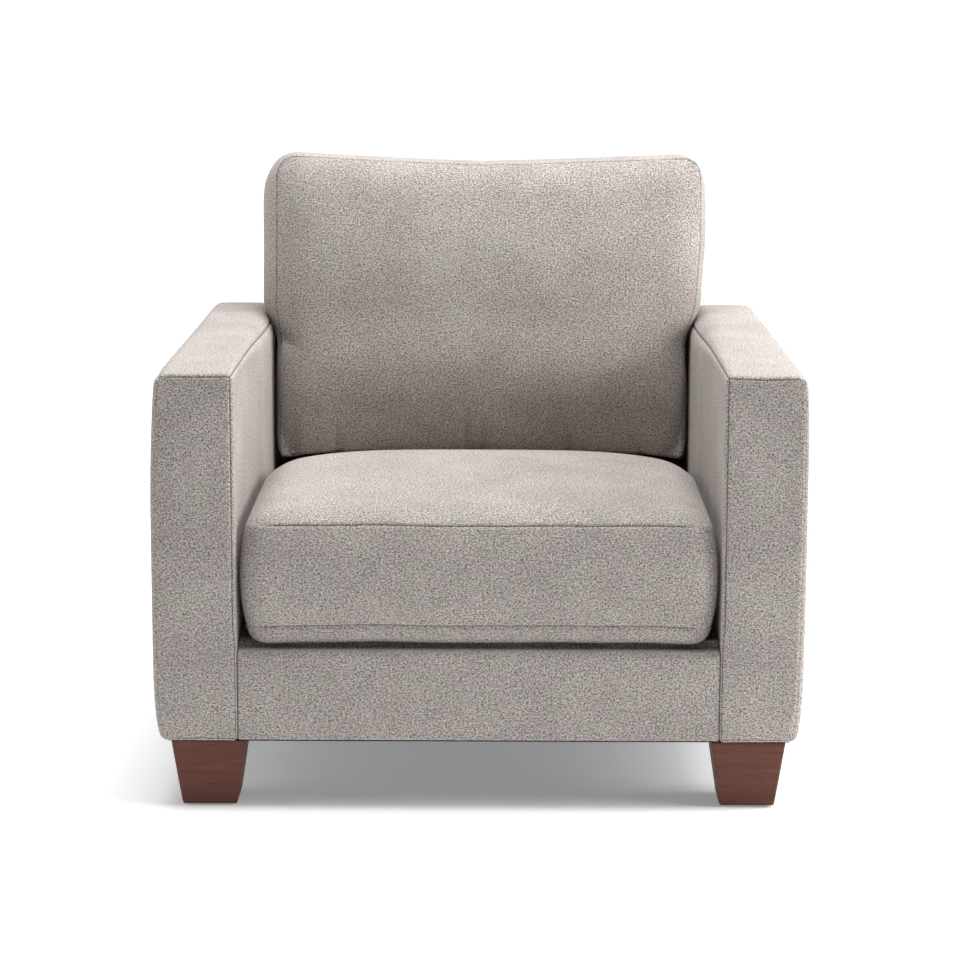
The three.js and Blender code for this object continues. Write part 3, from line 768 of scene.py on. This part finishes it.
class BackCushion(Cushion):
    half = (0.3175, 0.219, 0.0525)
    at = Vector((0, 0.3143, 0.6146))
    tilt = math.radians(5)
    corner_swell = 2.2
    # how wide the painted shadow along its seams is
    seam_shadow_width = 1.6

    def radius(self, u, v):
        return np.where(v > 0, (29 - 3 * u) * MM, 11 * MM)

    def side_belly(self, v):
        return (8.5 + 8.5 * smooth(v, -0.3, 0.05) - 5.5 * smooth(v, 0.6, 1.0)) * MM

    def end_belly(self, v):
        return np.where(v < 0, 9 * MM, 8.5 * MM)

    def crown(self, u, v):
        broad = 38 * MM * (1 - np.abs(u) ** 3) * (1 - np.abs(v) ** 2.2)
        low = smooth(-v, 0.0, 0.5)
        plump = (16 + 8 * low) * MM * shoulder(u, v, self.half, 50 * MM, 0.7, (50 + 45 * low) * MM) + broad
        for tuck in BACK_TUCKS:
            plump = plump - tuck_depth(u * self.half[0], v * self.half[1], *(MM * d for d in tuck))
        return plump

    def hang(self, u, v):
        return 13 * MM * (1 - u**4) * (1 - v**4)

    def drift(self, u, v, w):
        ears = (15.5 - 3 * smooth(u, 0.0, 1.0)) * MM * np.abs(u) ** 1.4 * smooth(v, 0.1, 1.0)
        front = (w + 1) / 2
        droop = (10 * MM * front + 13 * MM * u**6 * smooth(w, 0.1, 0.9)) * smooth(-v, 0.7, 1.0)
        # above the arm the right side slopes in, and the left side stays upright
        slope = (1 - smooth(v, 0.0, 0.5)) * smooth(v, -0.6, -0.25)
        wider = 14 * MM * u * smooth(v, -0.3, 0.05) + (1 - 6 * slope) * MM * smooth(u, 0.0, 1.0)
        across = (3 * MM + 7.4 * MM * w) * smooth(v, -0.6, 0.2)
        return np.stack([wider + across, ears - droop, 0 * u], axis=1)


def add_cushion(name, form, placing, fabric, foam, cap, seed):
    """The sewn cover, and inside it the filling, which follows the cover's shape."""
    moved = lambda params: 0
    moved = simulate(name + "_rough", form.half, form.shape, cap, CUSHION_SEAMS)
    across_and_along = [lines(h, 5.5 * MM, STEEP_SEAM_LINES) for h in form.half[:2]]
    fine = Lattice(*across_and_along, lines(form.half[2], 7 * MM))
    points = form.shape(fine.params) + moved(fine.params)
    mesh = fine.mesh(name, points)
    carve_seams(mesh, *fine.seam_distance(points, CUSHION_SEAMS), seed=seed, width=form.seam_shadow_width)
    mesh.transform(placing)
    cover = add_piece(name + "_cover_cloth", mesh, [fabric], name, [name + "_cover"])

    inner = Lattice(*(lines(h, 22 * MM, (6 * MM, 15 * MM)) for h in form.half))
    points = form.shape(inner.params) + moved(inner.params)
    mesh = inner.mesh(name + "_filling", points)
    write_points(mesh, points - vertex_normals(mesh) * COVER_THICKNESS)
    mesh.transform(placing)
    filling = add_piece(name + "_filling", mesh, [foam], name, [name + "_core"])


def add_cushions(fabric, foam):
    seat, back = SeatCushion(), BackCushion()
    add_cushion("seat_cushion", seat, Matrix.Translation(seat.at), fabric, foam, 3 * MM, 3.0)
    leaning = Matrix.Translation(back.at) @ Matrix.Rotation(math.pi / 2 - back.tilt, 4, "X")
    add_cushion("back_cushion", back, leaning, fabric, foam, 3.5 * MM, 5.0)


# ---------------------------------------------------------------- padded frame panels


def round_box(params, half, radius, bias=1.0):
    """A box lattice carried to a box with rounded edges. radius may differ from vertex to vertex.
    bias, over 1 along an axis, moves the edges of the panels that face that way out of the
    roundings' middle: they end where they are nearly flat, and their neighbours make the turn."""
    points = params * np.array(half)
    inner = np.array(half) - np.reshape(radius, (-1, 1))
    core = np.clip(points, -inner, inner)
    out = (points - core) * bias
    length = np.maximum(np.linalg.norm(out, axis=1, keepdims=True), 1e-9)
    return core + out / length * np.reshape(radius, (-1, 1))


def blend_radius(params, half, radii):
    """A radius at each vertex, that goes smoothly from one edge's radius to another's."""
    total = weights = 0
    for fixed, radius in radii:
        weight = (edge_distance(params, half, fixed) + 3 * MM) ** -3
        total = total + weight * radius
        weights = weights + weight
    return total / weights


def dome(s, t, power=2.4):
    """1 in the middle of a panel and 0 along its edges."""
    return (1 - np.abs(s) ** power) * (1 - np.abs(t) ** power)


ARM_SEAMS = [
    {0: -1, 1: -1}, {0: 1, 1: -1}, {1: -1, 2: 1}, {1: -1, 2: -1},
    {0: -1, 2: 1}, {0: 1, 2: 1},
    {0: -1, 1: 1}, {0: 1, 1: 1}, {1: 1, 2: 1},
]


def arm_radii(sign, v, w, z):
    """The rounding of each of an arm's edges."""
    rail_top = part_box("front_rail_cover")[1].z
    # the front rail's cover is sewn to the arm's inner front edge, so that edge is sharper there
    at_rail = 1 - smooth(z, rail_top - 5 * MM, rail_top + 30 * MM)
    return [
        ({0: 1, 2: 1}, 18 * MM),
        ({0: -1, 2: 1}, (10 + 28 * smooth(v, -0.6, 0.6)) * MM),
        ({0: 1, 2: -1}, 9 * MM),
        ({0: -1, 2: -1}, 6 * MM),
        ({0: 1, 1: -1}, (10.5 - (2.5 + 2 * sign) * w) * MM),
        ({0: -1, 1: -1}, (7 - 4 * at_rail) * MM),
        ({0: 1, 1: 1}, 18 * MM),
        ({0: -1, 1: 1}, 8 * MM),
        ({1: -1, 2: 1}, 6 * MM),
        ({1: -1, 2: -1}, 6 * MM),
        ({1: 1, 2: 1}, 20 * MM),
        ({1: 1, 2: -1}, 8 * MM),
    ]


def arm_puff(sign, params, half, z, foot):
    """How far the stuffing pushes each place of an arm out of its box. foot is the arm's lower end."""
    u, v, w = params.T
    # the outer side is fullest low down, and the left arm narrows a little towards its top
    full = 5 * MM * (1 - np.abs(w) ** 5) * (1 - 0.6 * smooth(v, 0.3, 1.0))
    front_share = smooth(-v, 0.7, 1.0)
    full = full + (3.5 * (1 - front_share) - 1.75 + 1.75 * sign) * MM * smooth(z, 0.4, 0.6)
    outer = smooth(u, 0.0, 1.0) * (full - 5 * MM * np.exp(-(z - foot) / (20 * MM)))
    inner = np.where(u == -1, dome(v, w, 3.0) * 1.2 * MM, 0)
    ahead = np.where(v == -1, dome(u, w, 3.0) * 2.5 * MM, 0)
    up = np.where(w == 1, dome(u, v, 2.4) * 2.5 * MM + dome(u, v, 10.0) * 2.5 * MM, 0)
    up = up + (1.9 - 0.9 * sign) * MM * smooth(v, 0.0, 1.0) * (w + 1) / 2
    sag = (1 - u * u) * np.exp(-edge_distance(params, half, {1: -1, 2: 1}) / (25 * MM))
    return np.stack([outer - inner, -ahead, up - (1.4 + 0.8 * sign) * MM * sag], axis=1)


def add_arm(side, sign, fabric, foam):
    """A padded arm. Its own +x side faces out."""
    low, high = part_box(f"arm_cover_{side}")
    half = tuple((high - low) / 2)
    middle = (high + low) / 2
    fine = Lattice(*(lines(h, 9 * MM) for h in half))
    u, v, w = fine.params.T
    z = w * half[2] + middle.z
    radius = blend_radius(fine.params, half, arm_radii(sign, v, w, z))
    front_bias = np.where(v < 0, 2.4, 1.0)
    inner_bias = 1 + np.where(u < 0, 0.6, 0.0) * smooth(w, 0.0, 1.0) * smooth(v, -0.6, 0.6)
    bias = np.stack([inner_bias, front_bias, np.ones(len(u))], axis=1)
    puff = arm_puff(sign, fine.params, half, z, low.z)
    points = round_box(fine.params, half, radius, bias) + puff
    mesh = fine.mesh(f"arm_{side}", points)
    seam = fine.seam_distance(points, ARM_SEAMS)
    # the seam down the outer front edge is pressed flat, with a shallower crease and a thinner painted
    # shadow line, and hardly shows
    flat = smooth(u, 0.5, 0.95) * smooth(-v, 0.94, 0.99)
    carve_seams(mesh, *seam, (1.1 - 0.8 * flat) * MM, 0.35 * MM, seed=2.0 + sign, width=1 - 0.72 * flat)
    within = tuple(h - COVER_THICKNESS for h in half)
    padding = fine.mesh(f"arm_foam_{side}", round_box(fine.params, within, radius, bias) + puff)
    for made, its_material, part in ((mesh, fabric, "cover"), (padding, foam, "padding")):
        made.transform(Matrix.Translation(middle) @ Matrix.Scale(sign, 4, (1, 0, 0)))
        if sign < 0:
            made.flip_normals()
        piece = add_piece(made.name, made, [its_material], "frame", [f"arm_{part}_{side}"])


def add_panel(name, node, radius, seams, material, bulge=None, lean=None, depth=1.0 * MM, width=1.0):
    """A padded cover in the place of a CAD cover: a round-edged box, bulged and leaned as asked."""
    low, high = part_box(node)
    half = tuple((high - low) / 2)
    middle = (high + low) / 2
    fine = Lattice(*(lines(h, 10 * MM) if h > 1.4 * SEAM_LINES[-1] else np.linspace(-1, 1, 9) for h in half))
    if isinstance(radius, list):
        radius = blend_radius(fine.params, half, radius)
    points = round_box(fine.params, half, np.broadcast_to(radius, len(fine.params)))
    for change in (bulge, lean):
        if change:
            points += change(*fine.params.T)
    mesh = fine.mesh(name, points)
    if seams:
        carve_seams(mesh, *fine.seam_distance(points, seams), depth=depth, puckers=0.2 * MM, width=width)
    mesh.transform(Matrix.Translation(middle))
    piece = add_piece(name, mesh, [material], "frame", [node])


def add_front_rail(fabric, foam):
    def bulge(u, v, w):
        back = (1 - v) / 2 * (1.5 - dome(u, w, 4.0)) * MM
        pressed = 11.5 * MM * (1 - smooth(v, 0.2, 1.0)) * (w + 1) / 2
        return np.stack([0.35 * MM * u, back, -pressed], axis=1)

    radii = [({1: -1, 2: 1}, 15 * MM), ({1: -1, 2: -1}, 4 * MM)]
    radii += [({0: s, k: t}, 2.4 * MM) for s in (-1, 1) for k in (1, 2) for t in (-1, 1)]
    radii += [({1: 1, 2: t}, 2.4 * MM) for t in (-1, 1)]
    # its ends are sewn to the arms, so the line that shows there is the gap beside it
    seams = [{0: -1, 1: -1}, {0: 1, 1: -1}]
    add_panel("front_rail_upholstery", "front_rail_cover", radii, seams, fabric, bulge=bulge,
              depth=0.1 * MM, width=0.05)

    def set_back(u, v, w):
        lower = 12 * MM * (1 - smooth(v, 0.2, 1.0)) * (w + 1) / 2
        return np.stack([0 * u, (1 - v) / 2 * 4 * MM, -lower], axis=1)

    add_panel("front_rail_foam", "front_rail_padding", radii, [], foam, bulge=set_back)


def add_back_covers(fabric):
    low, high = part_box("inside_back_cover")
    slope = math.tan(BackCushion.tilt)

    def lean(u, v, w):
        """The front leans back, and the rear stays upright."""
        height = (w + 1) / 2 * (high.z - low.z)
        return np.stack([0 * u, (1 - v) / 2 * height * slope, 0 * u], axis=1)

    def bulge(u, v, w):
        ahead = np.where(v == -1, dome(u, w, 3.0) * 1.5 * MM, 0)
        up = np.where(w == 1, dome(u, v, 2.0) * 2 * MM, 0)
        return np.stack([0 * u, -ahead, up], axis=1)

    seams = [{0: s, 1: -1} for s in (-1, 1)] + [{0: s, 2: 1} for s in (-1, 1)] + [{1: 1, 2: 1}]
    add_panel("inside_back_upholstery", "inside_back_cover", 5 * MM, seams, fabric, bulge=bulge, lean=lean)

    def rear_bulge(u, v, w):
        return np.stack([0 * u, np.where(v == 1, dome(u, w, 4.0) * 1.2 * MM, 0), 0 * u], axis=1)

    seams = [{0: -1, 1: 1}, {0: 1, 1: 1}, {1: 1, 2: 1}, {1: 1, 2: -1}]
    add_panel("outside_back_upholstery", "outside_back_panel", 1.2 * MM, seams, fabric,
              bulge=rear_bulge, depth=0.5 * MM)


# ---------------------------------------------------------------- stretched sheets


def add_stretched_sheet(name, node, shape, material):
    """A cloth stapled round its edges. shape gives how far it stands off flat, in metres."""
    low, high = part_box(node)
    half = tuple((high - low) / 2)
    lattice = Lattice(*(lines(h, 12 * MM) for h in half[:2]), np.array([-1.0, 1.0]))
    u, v, _ = lattice.params.T
    points = lattice.params * np.array(half) + np.array((high + low) / 2)
    points[:, 2] += shape(u, v, u * half[0], v * half[1])
    piece = add_piece(name, lattice.mesh(name, points), [material], "frame", [node])


def add_sheets(lining, cambric):
    def pulled(u, v, x, y):
        """Faint ripples between the staples, standing a little above the pad."""
        near_edge = np.exp(-np.minimum(1 - np.abs(u), 1 - np.abs(v)) * 8)
        ripple = waviness(x + 0.3 * y, 2.0, 0.09) + waviness(y - 0.2 * x, 5.0, 0.11)
        return 0.12 * MM * (2 + ripple) * (0.5 + near_edge)

    def sagging(u, v, x, y):
        """It hangs a few millimetres in its middle and lies flat where the legs are."""
        clear_of_legs = 1 - smooth(np.abs(u * v), 0.2, 0.45)
        return -4 * MM * dome(u, v) * clear_of_legs

    add_stretched_sheet("deck_lining", "deck_cloth", pulled, lining)
    add_stretched_sheet("dust_cover_cloth", "dust_cover", sagging, cambric)


# ---------------------------------------------------------------- wooden legs


LEG_TAPER = 75 / 102  # a leg's width at the foot, over its width at the top


def add_leg(corner, wood):
    """A tapered square block with eased edges, and arrises a little softer at the foot."""
    low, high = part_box(f"leg_{corner}")
    half = tuple((high - low) / 2)
    middle = (high + low) / 2
    lattice = Lattice(*(np.linspace(-1, 1, 15) for _ in range(3)))
    # more lines near the edges, where the rounding is
    params = np.sign(lattice.params) * (1 - (1 - np.abs(lattice.params)) ** 1.7)
    radius = 2.2 * MM + 1.6 * MM * smooth(-params[:, 2], 0.3, 1.0)
    points = round_box(params, half, radius)
    taper = LEG_TAPER + (1 - LEG_TAPER) * (points[:, 2] / half[2] + 1) / 2
    points[:, :2] *= taper[:, None]
    mesh = lattice.mesh(f"wooden_leg_{corner}", points + np.array(middle))
    add_piece(f"wooden_leg_{corner}", mesh, [wood], "frame", [f"leg_{corner}"])


# ---------------------------------------------------------------- everything together


def finish_cad_nodes(materials):
    """The record's slots give each CAD node that still shows its material."""
    slots = {s["node"]: s["material_slot"] for s in frame["record"]["subparts"]}
    for name, node in frame["nodes"].items():
        material = materials[slots[name]]
        node.data.materials.clear()
        node.data.materials.append(material)


def build():
    add_camera()
    add_studio()
    fabric = fabric_material()
    materials = {
        "upholstery": fabric,
        "lining": plain_weave_material("lining", (0.22, 0.2, 0.185), (0.36, 0.33, 0.31), 0.6 * MM),
        "foam": foam_material(),
        "felt": plain_weave_material("felt", (0.07, 0.065, 0.06), (0.22, 0.2, 0.19), 1.6 * MM),
        "cambric": plain_weave_material("cambric", (0.006, 0.006, 0.007), (0.022, 0.022, 0.024), 0.7 * MM),
        "webbing": plain_weave_material("webbing", (0.02, 0.017, 0.014), (0.06, 0.05, 0.042), 1.2 * MM),
        "plywood": wood_material("plywood", (0.42, 0.29, 0.16), (0.62, 0.46, 0.28), 0.6, 2),
        "stained_wood": wood_material("stained_wood", *STAINS, 0.46, 0, 0.8),
        "steel": metal_material("steel", (0.55, 0.56, 0.57), 0.3),
        "glide_plastic": plastic_material("glide_plastic", (0.02, 0.018, 0.016)),
        "zip_tape": plain_weave_material("zip_tape", (0.2, 0.18, 0.17), (0.34, 0.31, 0.29), 0.5 * MM),
        "zip_metal": metal_material("zip_metal", (0.42, 0.42, 0.43), 0.32),
    }
    finish_cad_nodes(materials)
    add_cushions(fabric, materials["foam"])
    for side, sign in SIDES.items():
        add_arm(side, sign, fabric, materials["foam"])
    add_front_rail(fabric, materials["foam"])
    add_back_covers(fabric)
    add_sheets(materials["lining"], materials["cambric"])
    for corner in ("front_left", "front_right", "rear_left", "rear_right"):
        add_leg(corner, materials["stained_wood"])


build()
